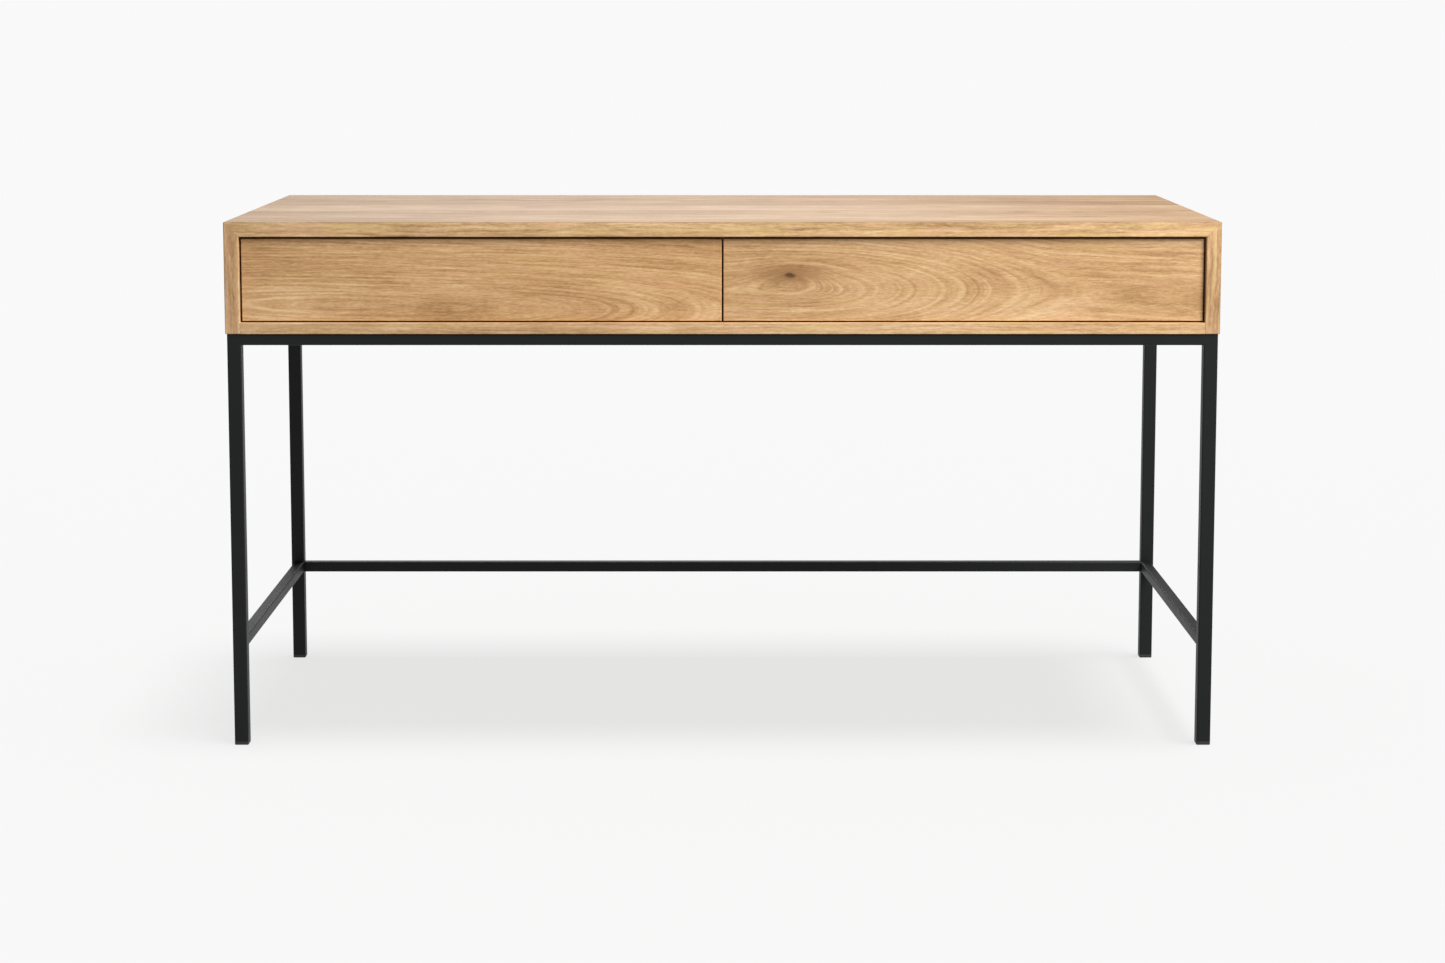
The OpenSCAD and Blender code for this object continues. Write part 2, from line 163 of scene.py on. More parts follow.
def carried(name, axis, corners, start, stop, radius, ends):
    """A closed mesh: the outline carried along one axis from start to stop.

    Near an end the station at angle p, from 0 at the end to 90 degrees, lies
    end * (1 - cos p) in from it, and its outline is inset by end * (1 - sin p)."""
    centres, directions, first, second = outline(corners)
    p = np.radians(np.linspace(0, 90, EASE_STEPS + 1))
    inset = np.concatenate([ends[0] * (1 - np.sin(p)), ends[1] * (1 - np.sin(p[::-1]))])
    along = np.concatenate([start + ends[0] * (1 - np.cos(p)),
                            stop - ends[1] * (1 - np.cos(p[::-1]))])
    lean = np.concatenate([np.cos(p) * -1, np.cos(p[::-1])])       # towards the end
    rise = np.concatenate([np.sin(p), np.sin(p[::-1])])            # away from the axis
    stations, points = len(along), len(centres)

    flat_points = centres + (radius - inset)[:, None, None] * directions
    axis_n, a_n, b_n = PLANES[axis]
    vertices = np.empty((stations, points, 3))
    vertices[..., axis_n] = along[:, None]
    vertices[..., a_n], vertices[..., b_n] = flat_points[..., 0], flat_points[..., 1]

    j, i = np.meshgrid(np.arange(stations - 1), np.arange(points), indexing="ij")
    k = (i + 1) % points
    quads = np.stack([j * points + i, j * points + k,
                      (j + 1) * points + k, (j + 1) * points + i], -1).reshape(-1, 4)
    in_plane = np.stack([first[i], second[i], second[i], first[i]], 2)
    station = np.stack([j, j, j + 1, j + 1], -1)
    normals = np.empty(in_plane.shape[:3] + (3,))
    normals[..., axis_n] = lean[station]
    normals[..., a_n] = in_plane[..., 0] * rise[station]
    normals[..., b_n] = in_plane[..., 1] * rise[station]
    normals = normals.reshape(-1, 4, 3)

    ring = np.arange(points)
    near, far = ring[::-1], ring + (stations - 1) * points
    cap = np.zeros(3)
    cap[axis_n] = 1.0
    if axis == "y":         # X, Z and Y make a left-handed set, so the faces are turned
        quads, normals = quads[:, ::-1], normals[:, ::-1]
        near, far = near[::-1], far[::-1]
    mesh = bpy.data.meshes.new(name)
    mesh.from_pydata(vertices.reshape(-1, 3), [], quads.tolist() + [near.tolist(), far.tolist()])
    mesh.polygons.foreach_set("use_smooth", np.ones(len(mesh.polygons), bool))
    loops = np.concatenate([normals.reshape(-1, 3), np.tile(-cap, (points, 1)),
                            np.tile(cap, (points, 1))])
    loops /= np.linalg.norm(loops, axis=1, keepdims=True)
    mesh.normals_split_custom_set(loops)
    mesh.validate()
    piece = bpy.data.objects.new(name, mesh)
    bpy.context.scene.collection.objects.link(piece)
    return piece


def bar(name, axis, box_low, box_high, radius, ends):
    """A straight bar between two corners of a box, its long edges eased to a radius."""
    axis_n, a_n, b_n = PLANES[axis]
    corners = rounded_rectangle(box_low[a_n], box_high[a_n], box_low[b_n], box_high[b_n],
                                radius)
    return carried(name, axis, corners, box_low[axis_n], box_high[axis_n], radius, ends)


def stand_in(piece, node, material):
    """Puts a finished piece in the place of one CAD node, on that node's body."""
    body = next(b for b, nodes in frame["record"]["behaviour"]["bodies"].items()
                if node in nodes)
    piece.data.materials.append(material)
    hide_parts(node)
    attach(piece, body)
    return piece


print("boards and bars are ready to be carried along", ", ".join(PLANES))

# %% [markdown]
# ## Shader maths written as sums
#
# A procedural material is a formula that is worked out at every point of a surface. Wiring
# dozens of Math nodes by hand hides the formula, so a small class wraps a node's output
# and lets Python's own operators add the nodes. Everything else, such as a noise or a
# colour mix, goes through one method of the material being made.

# %% The material helpers


class Value:
    """A number, vector or colour that varies over a surface; operators are for numbers."""

    def __init__(self, recipe, socket):
        self.recipe, self.socket = recipe, socket

    def maths(self, operation, *others):
        return self.recipe.node("ShaderNodeMath", {"operation": operation},
                                dict(enumerate((self, *others))))

    def __add__(self, other):
        return self.maths("ADD", other)

    def __sub__(self, other):
        return self.maths("SUBTRACT", other)

    def __mul__(self, other):
        return self.maths("MULTIPLY", other)

    def __truediv__(self, other):
        return self.maths("DIVIDE", other)

    def __rsub__(self, other):
        return self.recipe.node("ShaderNodeMath", {"operation": "SUBTRACT"},
                                {0: other, 1: self})

    __radd__, __rmul__ = __add__, __mul__

    def squared(self):
        return self.maths("MULTIPLY", self)

    def root(self):
        return self.maths("SQRT")

    def step(self, start, stop):
        """0 before start, 1 after stop and a smooth S between; start may be the larger."""
        return self.recipe.node("ShaderNodeMapRange", {"interpolation_type": "SMOOTHSTEP"},
                                {0: self, 1: start, 2: stop, 3: 0.0, 4: 1.0})

    def split(self):
        """The three parts of a vector."""
        parts = self.recipe.node("ShaderNodeSeparateXYZ", {}, {0: self})
        return [Value(self.recipe, s) for s in parts.socket.node.outputs]


class Recipe:
    """A material while it is being made: its node tree and its main shader."""

    def __init__(self, name):
        self.material = bpy.data.materials.new(name)
        self.material.use_nodes = True
        self.tree = self.material.node_tree
        self.shader = self.tree.nodes["Principled BSDF"]

    def plug(self, socket, value):
        if isinstance(value, Value):
            self.tree.links.new(value.socket, socket)
        else:
            socket.default_value = value

    def node(self, kind, settings, sockets, out=0):
        """Adds a node: its settings first, then its sockets' values or links."""
        made = self.tree.nodes.new(kind)
        for key, value in settings.items():
            if key == "stops":
                while len(made.color_ramp.elements) < len(value):
                    made.color_ramp.elements.new(0.5)
                for element, (position, colour) in zip(made.color_ramp.elements, value):
                    element.position, element.color = position, (*colour, 1.0)
            else:
                setattr(made, key, value)
        for key, value in sockets.items():
            self.plug(made.inputs[key], value)
        return Value(self, made.outputs[out])

    def place(self):
        """The point's X, Y and Z in the desk's own frame, in metres."""
        return self.node("ShaderNodeTexCoord", {}, {}, "Object").split()

    def vector(self, x, y, z):
        return self.node("ShaderNodeCombineXYZ", {}, {0: x, 1: y, 2: z})

    def noise(self, x, y, z, detail=2.0, roughness=0.5):
        """Soft noise from -0.5 to 0.5; the parts are already in cycles."""
        raw = self.node("ShaderNodeTexNoise", {}, {
            "Vector": self.vector(x, y, z), "Scale": 1.0, "Detail": detail,
            "Roughness": roughness})
        return raw - 0.5

    def blend(self, factor, first, second, how="MIX"):
        """Two colours mixed by a factor."""
        return self.node("ShaderNodeMix", {"data_type": "RGBA", "blend_type": how},
                         {0: factor, 6: first, 7: second}, 2)

    def bump(self, height, strength, distance):
        return self.node("ShaderNodeBump", {}, {
            "Height": height, "Strength": strength, "Distance": distance})

    def finish(self, **sockets):
        """Plugs the main shader's sockets, named with _ for each space."""
        for name, value in sockets.items():
            self.plug(self.shader.inputs[name.replace("_", " ")], value)
        print("made the material", self.material.name, "with", len(self.tree.nodes), "nodes")
        return self.material


print("sums such as (1 - mask) * depth now add their own Math nodes")


# %% [markdown]
# ## Oak, drawn as it grows
#
# A tree is a stack of thin cones, one for each year. Sawing a board cuts through them, and
# the lines on its face are simply where the saw met each year's cone: straight where the
# cut is far from the heart, and in the tall nested arches that joiners call cathedrals
# where it passes beside it. An image of oak would repeat and would stop at each edge, so
# this oak is worked out instead: every point finds its distance from a slightly crooked
# heart line, and that distance in years gives the ring it lies in.

# %% The colours of oak
YEAR = 0.0040                       # one year's growth, in metres
OAK_DARK = (0.280, 0.136, 0.050)
OAK_MIDDLE = (0.560, 0.322, 0.148)
OAK_PALE = (0.780, 0.530, 0.300)
OAK_PINK = (0.70, 0.36, 0.22)
OAK_OLIVE = (0.64, 0.43, 0.15)
OAK_FACE_PAINTED_SHADE = (0.51, 0.487, 0.53)      # painted shade and grey sheen on an open face, against a sawn edge
KNOT_BROWN = (0.070, 0.028, 0.010)
print("this oak grew", YEAR * 1000, "mm a year")

# %% [markdown]
# ### Boards, hearts and knots
#
# Three things shape the rings before any colour is chosen. A wide panel is glued up from
# narrow boards, so it is cut into strips that each get a heart of their own. No trunk is
# straight, so soft noise in three sizes pushes the lines about. And where a branch left
# the trunk the rings close round it, which a bell-shaped dip in the count of years does.

# %% The shape of the rings


def straight(u):
    """A heart far behind the board, which leaves nearly straight lines on its face."""
    return u * 0.02 - 0.02, u * 0.03 + 0.05


def glued_up(oak_is, u, v, stave, seed):
    """Cuts a panel into boards: u and v in the board, its heart line and its shade."""
    count = (v / stave + 0.5).maths("FLOOR")
    random = oak_is.node("ShaderNodeTexWhiteNoise", {"noise_dimensions": "1D"},
                         {"W": count + seed}, "Color").split()
    heart_line = (random[1] - 0.5) * stave * 1.3, random[2] * 0.05 + 0.02
    shade = (random[0] * 3.7).maths("FRACT") * 0.26 - 0.13
    return u + random[0] * 7.0, v - count * stave, heart_line, shade


def crooked(oak_is, u, v, w, seed):
    """v pushed about by a long drift, a ripple and a shiver; returns the last two too."""
    drift = oak_is.noise(u * 1.6, v * 5.0 + seed, w * 5.0, 1.0)
    ripple = oak_is.noise(u * 9.0 + seed, v * 32.0, w * 32.0, 2.0, 0.5)
    shiver = oak_is.noise(u * 60.0, v * 200.0 + seed, w * 200.0, 1.0)
    return v + drift * 0.022 + ripple * 0.0050 + shiver * 0.0009, ripple, shiver


def from_knot(u, face_v, knot):
    """Distances along and across the grain from the knot, and the knot's size."""
    return u - knot[0], face_v - knot[1], knot[2]


def growth(oak_is, u, v, w, heart_line, seed, knotted):
    """Years from the heart: the root of across squared plus depth squared, over YEAR.

    A knot takes off a bell of years, exp of minus the squared distance in its sizes."""
    heart_v, depth = heart_line
    depth = depth + w + oak_is.noise(u * 3.4, seed, 3.1, 1.5) * 0.020
    years = ((v - heart_v).squared() + depth.squared()).root() / YEAR
    if knotted:
        du, dv, size = knotted
        basin = ((du / (size * 6.5)).squared() + (dv / (size * 2.6)).squared()) * -1.0
        years = years - basin.maths("EXPONENT") * 4.5
    return years + oak_is.noise(years * 0.30, u * 1.2, seed, 1.0) * 1.6


print("a board's face is", round(straight(0.0)[1] / YEAR, 1), "years from a far heart")

# %% [markdown]
# ### From rings to tone
#
# Oak is ring porous: each year starts with a band of wide vessels, which a flat cut opens
# into short dark dashes, and ends in dense pale wood. No two years are alike, so the tones
# that vary from ring to ring are noise over the years, and they flow with the arches. The
# fibres run along the board whatever the rings do, so their noise is stretched along u.

# %% The tone of the wood
KNOT_STRETCH = 3.2                  # a knot's halo is this much longer than it is high


def tone(oak_is, u, v, w, face_v, years, shade, seed):
    """How pale the wood is, from 0 to 1, with its early wood, its fibre and its pores.

    It is a sum of noises over the years (lines, bands, streak), along the fibres (fibre,
    fleck) and over the whole board (cloud), less the early wood and the open pores."""
    ring = years.maths("FRACT")
    early = ring.step(0.60, 0.10) * ring.step(0.0, 0.10)
    vigour = oak_is.noise(years * 0.55, u * 2.5 + seed, 0.0, 2.0).step(-0.30, 0.30)
    lines = oak_is.noise(years * 1.7, u * 6.0, seed, 4.0, 0.65)
    bands = oak_is.noise(years * 0.42 + seed, u * 1.3, 0.0, 2.0, 0.6)
    streak = oak_is.noise(u * 12.0, years * 0.95, seed, 4.0, 0.7)
    fibre = oak_is.noise(u * 50.0, v * 430.0, w * 430.0 + seed, 4.0, 0.75)
    fleck = oak_is.noise(u * 120.0 + seed, v * 520.0, w * 520.0, 2.0, 0.7)
    cloud = oak_is.noise(u * 2.4, face_v * 11.0, w * 11.0 + seed, 3.0)
    dash = oak_is.noise(u * 150.0, v * 2300.0, w * 2300.0, 1.0).step(0.10, 0.24)
    pore = dash * (early * 0.8 + 0.2)
    light = streak * 1.05 + fibre * 1.00 + fleck * 0.65 + lines * 1.00 + bands * 0.60 \
        + cloud * 0.95 + (0.56 + shade) - early * vigour * (fibre * 0.60 + 0.15) \
        - pore * 0.18
    return light, early, fibre, pore


def knot_stain(oak_is, colour, knotted, ripple, shiver):
    """A brown halo drawn out along the grain, round a small dark core."""
    du, dv, size = knotted
    near = ((du / KNOT_STRETCH).squared() + dv.squared()).root() + ripple * size * 0.9
    close = ((du / 1.5).squared() + dv.squared()).root() + shiver * size * 1.5
    halo = near.step(size * 2.9, 0.0)
    core = close.step(size * 0.95, 0.0)
    colour = oak_is.blend(halo * 0.80, colour, (*OAK_DARK, 1.0))
    return oak_is.blend(core * 0.85, colour, (*KNOT_BROWN, 1.0))


print("a knot's halo is", KNOT_STRETCH, "times as long as it is high")

# %% [markdown]
# ### The oak itself
#
# Now the parts come together. The tone picks a colour from dark to pale, faint pink and
# golden streaks keep it from looking like one dye, and a tint gives each board its own
# cast, because no two boards in a desk come from the same tree. The gloss and the bump
# follow the same fibres and pores, so that they agree with the colour in raking light.

# %% Oak


def oak(name, place, seed, heart=straight, stave=None, knot=None, tint=(1.0, 1.0, 1.0),
        hue=0.4, joints=None, painted_face_shade=False):
    """Oak whose grain runs along u, across its face along v, and into the board along w.

    place(x, y, z) gives u, v and w. heart(u) gives the tree's heart line: its v, and its
    depth behind the face. stave is the width of the boards that a wide panel is glued up
    from. knot is (u, v, size). tint is the board's own cast and hue the strength of its
    coloured streaks. joints(x, y, z) is the distance from a glued joint. The last flag
    paints shade and a grey sheen onto the face, where w is 0: it is darker and greyer
    than the edges."""
    oak_is = Recipe(name)
    xyz = oak_is.place()
    u, v, w = place(*xyz)
    face_v = v
    if stave:
        u, v, heart_line, shade = glued_up(oak_is, u, v, stave, seed)
    else:
        heart_line, shade = heart(u), 0.0
    knotted = from_knot(u, face_v, knot) if knot else None
    v, ripple, shiver = crooked(oak_is, u, v, w, seed)
    years = growth(oak_is, u, v, w, heart_line, seed, knotted)
    light, early, fibre, pore = tone(oak_is, u, v, w, face_v, years, shade, seed)

    colour = oak_is.node("ShaderNodeValToRGB", {"stops": [
        (0.0, OAK_DARK), (0.52, OAK_MIDDLE), (1.0, OAK_PALE)]}, {0: light})
    warm = oak_is.noise(u * 10.0 + seed, v * 130.0, w * 130.0, 2.0).step(0.0, 0.25)
    cool = oak_is.noise(u * 8.0, v * 150.0 + seed, w * 150.0, 2.0).step(0.0, 0.25)
    colour = oak_is.blend(warm * (hue * 0.6), colour, (*OAK_PINK, 1.0))
    colour = oak_is.blend(cool * (hue * 0.6), colour, (*OAK_OLIVE, 1.0))
    if knot:
        colour = knot_stain(oak_is, colour, knotted, ripple, shiver)
    colour = oak_is.blend(1.0, colour, (*tint, 1.0), "MULTIPLY")
    if painted_face_shade:
        # Painted shade and sheen: the open face is darkened and greyed against the sawn edges.
        painted_face_mask = w.maths("ABSOLUTE").step(0.0012, 0.0004)
        colour = oak_is.blend(painted_face_mask, colour, (*OAK_FACE_PAINTED_SHADE, 1.0), "MULTIPLY")
    if joints:
        glue = joints(*xyz).maths("ABSOLUTE").step(0.0004, 0.0001)
        colour = oak_is.blend(glue * 0.28, colour, (*KNOT_BROWN, 1.0))
    height = fibre * 0.5 - pore
    return oak_is.finish(Base_Color=colour, Roughness=0.60 + early * 0.10 + fibre * 0.14,
                         Specular_IOR_Level=0.24, Normal=oak_is.bump(height, 0.35, 0.0002))


print("oak shades from", OAK_DARK, "to", OAK_PALE)

# %% [markdown]
# ## Where the grain runs in the case
#
# The top turns down into the sides through a mitre, so its grain runs across the desk and
# then down each side without a break: a waterfall joint. To get that from a solid pattern,
# the sides only have to measure their grain along the same path, down from the corner,
# and their depth inwards from their own outer face.

# %% Measuring along the grain
STAVE = 0.105               # width of the boards that the top is glued up from
# The top's tint is paler than the sides', though they are one piece of oak: the difference is
# painted light, as if the top were lit more than the sides.
TOP_TINT_PAINTED_PALER = (1.08, 1.21, 1.27)
SIDE_TINT = (1.03, 1.11, 1.24)
half_width, top_z = high[0], high[2]
panel = top_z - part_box("top_panel")[0][2]
case_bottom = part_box("bottom_panel")[0][2]
front_low, front_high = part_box("left_drawer_front")
middle_z = (front_low.z + front_high.z) / 2


def top_place(x, y, z):
    """Grain along X, face across Y, depth up from the top's face."""
    return x, y, z - float(top_z)


def side_place(side):
    """Grain runs on from the top's end at half_width, down the side."""
    def place(x, y, z):
        return ((float(half_width + top_z) - z) * side, y, x * side - float(half_width))
    return place


def flat_place(x, y, z):
    """For the bottom: grain along X, face across Y, depth up from its underside."""
    return x, y, z - float(case_bottom)


def upright_place(depth_from):
    """For a board that stands across the desk: grain along X, face across Z."""
    def place(x, y, z):
        return x, z - float(middle_z), y - float(depth_from)
    return place


def divider_place(x, y, z):
    """Grain along Y, face across Z, depth across the desk."""
    return y, z - float(middle_z), x


def mitre(x, y, z):
    """Distance from the mitre, where depth below the top is depth in from the end."""
    return (x.maths("ABSOLUTE") - z - float(half_width - top_z)) * math.sqrt(0.5)


print("the drawers' middle is", round(middle_z, 4), "m above the floor")

# %% [markdown]
# ## The mitred outlines
#
# Seen from the front, top and sides are one band folded round the drawers. Each piece gets
# its share of that band as an outline in X and Z, cut at 45 degrees where they meet, and
# is then carried along Y. The outer corner is eased as a whole after gluing, so each piece
# holds half of its arc.

# %% Outlines of the top and the sides
TOP_EASE = 0.0012           # radius of the eased edges of the case
JOINT_EASE = 0.0003         # a glued joint is hardly eased at all


def mitred_top(r):
    """Anticlockwise in X and Z: two mitre feet, then half an eased corner at each end."""
    foot_x, foot_z = half_width - panel + r, top_z - panel + r
    return [
        (np.array([-foot_x, foot_z]), np.array([[1.0, -1.0]])),
        (np.array([foot_x, foot_z]), np.array([[-1.0, -1.0]])),
        (np.array([half_width - r, top_z - r]), fan(45, 90)),
        (np.array([-half_width + r, top_z - r]), fan(90, 135)),
    ]


def mitred_side(side, r):
    """The other half of the corner, the mitre, and a square lower end with eased edges."""
    inner = half_width - panel
    right = [
        (np.array([inner + r, case_bottom + r]), fan(180, 270)),
        (np.array([half_width - r, case_bottom + r]), fan(270, 360)),
        (np.array([half_width - r, top_z - r]), fan(0, 45)),
        (np.array([inner + r, top_z - panel + r]), np.array([[-1.0, -1.0]])),
    ]
    if side > 0:
        return right
    flip = np.array([-1.0, 1.0])
    return [(centre * flip, directions[::-1] * flip) for centre, directions in right[::-1]]


print("the band round the drawers is", round(panel * 1000), "mm thick")

# %% [markdown]
# ## Top and sides
#
# The three pieces share one seed, so the rings really do run through the joint. The broad
# open faces carry painted shade and a painted grey sheen, darker and greyer than the sawn
# edges. The thin line of glue in the mitre is a shade darker than the wood.

# %% Top and sides in oak
oak_top = oak("oak_top", top_place, 3.0, stave=STAVE, tint=TOP_TINT_PAINTED_PALER, hue=0.8,
              joints=mitre, painted_face_shade=True)
stand_in(carried("oak_top_panel", "y", mitred_top(TOP_EASE), low[1], high[1], TOP_EASE,
                 (TOP_EASE, TOP_EASE)), "top_panel", oak_top)
for side, word in ((-1, "left"), (1, "right")):
    material = oak(f"oak_{word}_side", side_place(side), 3.0, stave=STAVE, tint=SIDE_TINT,
                   hue=0.7, joints=mitre, painted_face_shade=True)
    stand_in(carried(f"oak_{word}_side_panel", "y", mitred_side(side, TOP_EASE), low[1],
                     high[1], TOP_EASE, (TOP_EASE, TOP_EASE)),
             f"{word}_side_panel", material)

# %% [markdown]
# ## Bottom, back and divider
#
# The bottom sits between the sides, and a plain back panel closes the case. The divider
# between the drawers keeps its CAD shape, with the dowel holes in it, and is only given
# its own oak.

# %% Bottom, back and divider in oak
oak_bottom = oak("oak_bottom", flat_place, 11.0, stave=STAVE, tint=(0.95, 1.00, 1.05),
                 hue=0.9)
a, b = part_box("bottom_panel")
stand_in(bar("oak_bottom_panel", "x", a, b, 0.0008, (JOINT_EASE, JOINT_EASE)),
         "bottom_panel", oak_bottom)
a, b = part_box("back_panel")
stand_in(bar("oak_back_panel", "x", a, b, 0.0005, (JOINT_EASE, JOINT_EASE)),
         "back_panel", oak("oak_back", upright_place(b[1]), 23.0, hue=0.5))
frame["nodes"]["centre_divider"].data.materials[0] = oak("oak_divider", divider_place, 31.0)
print("the back panel is", round((b.y - a.y) * 1000, 1), "mm thick")

# %% [markdown]
# ## The drawer fronts
#
# Each front is one wide board. The left one was cut beside the heart low down, so its
# lines rise and fall in broad arches. The right one was cut where a branch left the
# trunk: its rings close round a small knot, and nested arches point away from it.

# %% The drawer fronts in oak
FRONT_EASE = 0.0009


def front_place(node):
    """Grain along X and face across Z, both from the middle of the front."""
    a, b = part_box(node)
    middle = (a + b) / 2

    def place(x, y, z):
        return x - middle.x, z - middle.z, y - a.y
    return place


def left_heart(u):
    """Along the lower edge, nearest the face left of the middle."""
    return u * -0.020 - 0.040, (u + 0.15).squared() * 0.17 + 0.009


def right_heart(u):
    """Just below the middle, going deeper to the right until the lines run straight."""
    return u.step(0.05, 0.34) * -0.012 - 0.014, u.step(-0.29, 0.17) * 0.066 + 0.007


left_oak = oak("oak_left_front", front_place("left_drawer_front"), 41.0, left_heart,
               tint=(0.97, 0.975, 0.945))
right_oak = oak("oak_right_front", front_place("right_drawer_front"), 57.0, right_heart,
                knot=(-0.244, 0.0065, 0.0075), tint=(0.93, 0.96, 0.97))
for word, material in (("left", left_oak), ("right", right_oak)):
    node = f"{word}_drawer_front"
    a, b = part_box(node)
    stand_in(bar(f"oak_{node}", "x", a, b, FRONT_EASE, (FRONT_EASE, FRONT_EASE)),
             node, material)
    print("the", word, "front is", round((b.x - a.x) * 1000, 2), "mm wide")

# %% [markdown]
# ## Black powder coat
#
# The base is square tube, welded and then powder coated. The powder melts into a skin
# with a very fine orange peel and a satin sheen that only shows where the light grazes
# it. The colour hardly varies, so the life of the finish is in its roughness and bump.

# %% The steel base
TUBE_RADIUS = 0.002
WELD = 0.002                # how far a rail's end runs into the leg it is welded to


def powder_coat(name):
    """Near-black paint: peel is soft noise 1 mm across, dust a broad faint change."""
    coat = Recipe(name)
    x, y, z = coat.place()
    peel = coat.noise(x * 900.0, y * 900.0, z * 900.0, 2.0)
    dust = coat.noise(x * 14.0, y * 14.0, z * 14.0, 3.0)
    colour = coat.blend(dust + 0.5, (0.0052, 0.0058, 0.0061, 1.0),
                        (0.0090, 0.0096, 0.0098, 1.0))
    return coat.finish(Base_Color=colour, Roughness=0.50 + dust * 0.10 + peel * 0.06,
                       Specular_IOR_Level=0.20, Normal=coat.bump(peel, 0.18, 0.0003))


black_coat = powder_coat("black_powder_coat")


def tube(node, axis, weld):
    """A tube in place of a CAD tube, run on at both ends by the depth of its weld."""
    a, b = (np.array(corner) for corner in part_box(node))
    n = PLANES[axis][0]
    a[n] -= weld
    b[n] += weld
    stand_in(bar(f"tube_{node}", axis, a, b, TUBE_RADIUS, (JOINT_EASE, JOINT_EASE)),
             node, black_coat)


for corner in ("front_left", "front_right", "back_left", "back_right"):
    tube(f"{corner}_leg", "z", 0.0)
for rail in ("front_rail", "back_rail", "back_stretcher"):
    tube(rail, "x", WELD)
for rail in ("left_rail", "right_rail", "left_stretcher", "right_stretcher"):
    tube(rail, "y", WELD)
frame["nodes"]["base_brackets"].data.materials[0] = black_coat
print("each rail runs", WELD * 1000, "mm into the legs at both ends")

# %% [markdown]
# ## The feet
#
# Each leg ends in a moulded plug that keeps the bare steel off the floor. Its lower edge
# is rounded so that it slides, and it is a shade duller than the paint.

# %% The glides
GLIDE_ROUND = 0.0016


def plastic(name, colour, roughness, grain):
    """Moulded plastic: a fine even spark texture in the bump, with faint scuffs."""
    moulded = Recipe(name)
    x, y, z = moulded.place()
    spark = moulded.noise(x * grain, y * grain, z * grain, 2.0)
    scuff = moulded.noise(x * 60.0, y * 60.0, z * 60.0, 3.0)
    base = moulded.blend(scuff + 0.5, (*colour, 1.0), (*[c * 1.35 for c in colour], 1.0))
    return moulded.finish(Base_Color=base, Roughness=roughness + scuff * 0.15,
                          Normal=moulded.bump(spark, 0.25, 0.0002))


glide_black = plastic("black_glide", (0.012, 0.012, 0.012), 0.55, 1500.0)
for corner in ("front_left", "front_right", "back_left", "back_right"):
    node = f"{corner}_glide"
    a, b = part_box(node)
    b.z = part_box(f"{corner}_leg")[0][2]
    stand_in(bar(f"foot_{node}", "z", a, b, TUBE_RADIUS, (GLIDE_ROUND, JOINT_EASE)),
             node, glide_black)
print("four feet, each", round(b.z * 1000, 1), "mm tall below its leg")

# %% [markdown]
# ## What shows when a drawer is open
#
# The drawer boxes are pale birch with finger-jointed corners, and they hang on zinc-plated
# runners. The CAD model already has the joints, the channels and the screws, so these
# parts keep their shapes and only need their finishes.

# %% Birch, zinc and the rest
BIRCH_PALE = (0.50, 0.37, 0.245)
BIRCH_DARK = (0.37, 0.26, 0.160)


def birch(name, seed):
    """Birch: fine even grain along X or Y, with a soft silky figure and no pores."""
    birch_is = Recipe(name)
    x, y, z = birch_is.place()
    figure = birch_is.noise(x * 6.0, y * 30.0 + seed, z * 90.0, 3.0, 0.6)
    fine = birch_is.noise(x * 40.0, y * 300.0, z * 900.0 + seed, 2.0)
    share = (figure * 1.6 + fine * 0.7 + 0.5).maths("MAXIMUM", 0.0)
    colour = birch_is.blend(share, (*BIRCH_DARK, 1.0), (*BIRCH_PALE, 1.0))
    return birch_is.finish(Base_Color=colour, Roughness=0.48 + fine * 0.1,
                           Normal=birch_is.bump(fine, 0.15, 0.0002))


def zinc(name):
    """Bright zinc on rolled steel: lines along the roll and a faint spangle."""
    plated = Recipe(name)
    x, y, z = plated.place()
    rolled = plated.noise(x * 900.0, y * 8.0, z * 900.0, 2.0)
    spangle = plated.noise(x * 130.0, y * 130.0, z * 130.0, 2.0)
    colour = plated.blend(spangle + 0.5, (0.50, 0.52, 0.54, 1.0), (0.72, 0.73, 0.73, 1.0))
    return plated.finish(Base_Color=colour, Metallic=1.0,
                         Roughness=0.34 + rolled * 0.12 + spangle * 0.10,
                         Normal=plated.bump(rolled, 0.12, 0.0001))


finishes = {
    "drawer_box_birch": birch("birch_box", 5.0),
    "beech": birch("beech_dowel", 9.0),
    "runner_zinc": zinc("zinc_runner"),
    "screw_zinc": zinc("zinc_screw"),
    "screw_black": black_coat,
    "latch_plastic": plastic("grey_latch", (0.14, 0.14, 0.145), 0.45, 1200.0),
}
for part in frame["record"]["subparts"]:
    if part["material_slot"] in finishes:
        frame["nodes"][part["node"]].data.materials[0] = finishes[part["material_slot"]]
print("finished", len(finishes), "materials that only show with a drawer open")

# %% [markdown]
# ## The studio
#
# A catalogue picture stands on white paper that runs up behind the object without a
# horizon. Here the floor is a wide disc. Near the desk it is matt paper that takes a soft
# shadow; further out it turns into a plain glow of the same brightness as the background,
# so that no edge shows whichever way the camera looks. The background that the camera
# sees is brighter than the sky that lights the desk, and the paper throws no light back
# at the desk, as in a large room where the paper is a small part of what the desk faces.

# %% Floor and background
PAPER_WHITE = 0.950         # how bright the background is
SKY = 0.36                  # how brightly the room lights the desk from all around
FLOOR_RADIUS = 200.0
FADE = (1.6, 6.0)           # metres from the desk over which the paper turns into glow
FLOOR_GLOW = 0.765          # the share of glow close to the desk


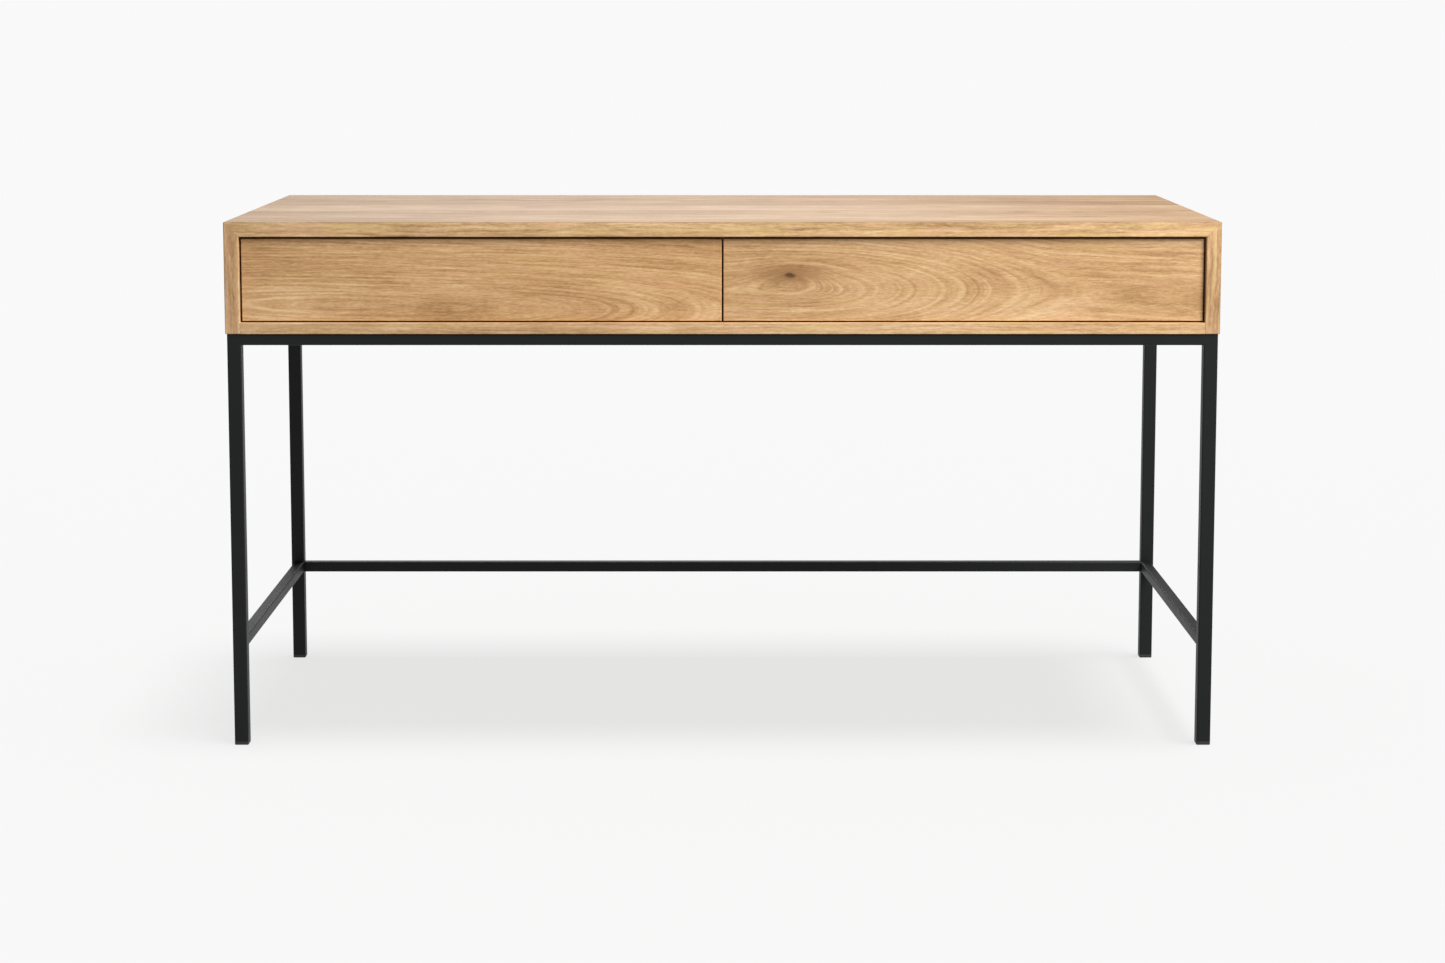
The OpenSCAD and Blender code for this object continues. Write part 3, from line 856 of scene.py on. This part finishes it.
def disc(name, radius, rings, spokes):
    """A flat disc: point (r, a) lies at r cos a, r sin a, with r growing as a cube."""
    r = radius * np.linspace(0, 1, rings + 1)[1:, None] ** 3
    a = np.linspace(0, 2 * np.pi, spokes, endpoint=False)[None, :]
    ring = np.stack([r * np.cos(a), r * np.sin(a), 0 * r * a], -1).reshape(-1, 3)
    i, j = np.meshgrid(np.arange(rings - 1), np.arange(spokes), indexing="ij")
    k = (j + 1) % spokes
    quads = np.stack([i * spokes + j, (i + 1) * spokes + j, (i + 1) * spokes + k,
                      i * spokes + k], -1).reshape(-1, 4)
    mesh = bpy.data.meshes.new(name)
    mesh.from_pydata(ring, [], quads.tolist() + [list(range(spokes))])
    made = bpy.data.objects.new(name, mesh)
    bpy.context.scene.collection.objects.link(made)
    return made


floor = disc("studio_floor", FLOOR_RADIUS, 16, 96)
paper = Recipe("studio_paper")
x, y, z = paper.place()
away = (x.squared() + y.squared()).root().step(*FADE)
glow = paper.node("ShaderNodeEmission", {}, {
    "Color": (1.0, 1.0, 1.0, 1.0), "Strength": PAPER_WHITE}, "Emission")
faded = paper.node("ShaderNodeMixShader", {}, {
    0: away * (1.0 - FLOOR_GLOW) + FLOOR_GLOW,
    1: Value(paper, paper.shader.outputs[0]), 2: glow})
paper.plug(paper.tree.nodes["Material Output"].inputs["Surface"], faded)
floor.data.materials.append(paper.finish(
    Base_Color=(0.80, 0.80, 0.80, 1.0), Roughness=0.9, Specular_IOR_Level=0.0))
floor.visible_diffuse = False

world = bpy.data.worlds.new("studio_world")
world.use_nodes = True
sky = world.node_tree.nodes["Background"]
rays = world.node_tree.nodes.new("ShaderNodeLightPath")
strength = world.node_tree.nodes.new("ShaderNodeMapRange")
strength.inputs["To Min"].default_value = SKY
strength.inputs["To Max"].default_value = PAPER_WHITE
world.node_tree.links.new(rays.outputs["Is Camera Ray"], strength.inputs["Value"])
world.node_tree.links.new(strength.outputs["Result"], sky.inputs["Strength"])
sky.inputs["Color"].default_value = (1.0, 1.0, 1.0, 1.0)
bpy.context.scene.world = world
bpy.context.scene.view_settings.view_transform = "Standard"
print("paper", PAPER_WHITE, "bright, sky", SKY)

# %% [markdown]
# ## The lights
#
# Studio lamps are flagged, so that each one falls only where it is wanted, and light
# linking does the same here. The key hangs on the right in front of the desk and above
# it. It makes the narrow shadow under the top's edge that shows how far the drawers are
# set back, and lets the tone fall away towards the left. The rim light behind gives the
# top its sheen. Neither touches the paper, which has a high lamp of its own that lays
# the desk's shadow almost straight down, and the feet's faint shadows to the left.

# %% The lights


def lamp(name, kind, place, aim, power, on_paper, **shape):
    """A light that faces a point and falls either only on the paper or on all but it."""
    light = bpy.data.lights.new(name, kind)
    light.energy = power
    for key, value in shape.items():
        setattr(light, key, value)
    made = bpy.data.objects.new(name, light)
    made.location = place
    turn = (made.location - type(made.location)(aim)).to_track_quat("Z", "Y")
    made.rotation_euler = turn.to_euler()
    made.visible_camera = False
    bpy.context.scene.collection.objects.link(made)
    lit = bpy.data.collections.new(f"{name}_falls_on")
    lit.objects.link(floor)
    lit.collection_objects[0].light_linking.link_state = "INCLUDE" if on_paper else "EXCLUDE"
    made.light_linking.receiver_collection = lit
    print("hung", name, "at", place)


DESK = (0.2, -0.3, 0.6)
lamp("key", "AREA", (2.2, -1.85, 3.2), DESK, 275.0, False, shape="RECTANGLE", size=1.2,
     size_y=2.6)
lamp("rim", "AREA", (-0.4, 2.9, 2.7), (-0.1, 0.0, 0.75), 70.0, False, size=2.2)
lamp("paper_lamp", "SUN", (0.65, -0.25, 4.6), (0.0, 0.0, 0.0), 2.47, True,
     angle=math.radians(21.0))
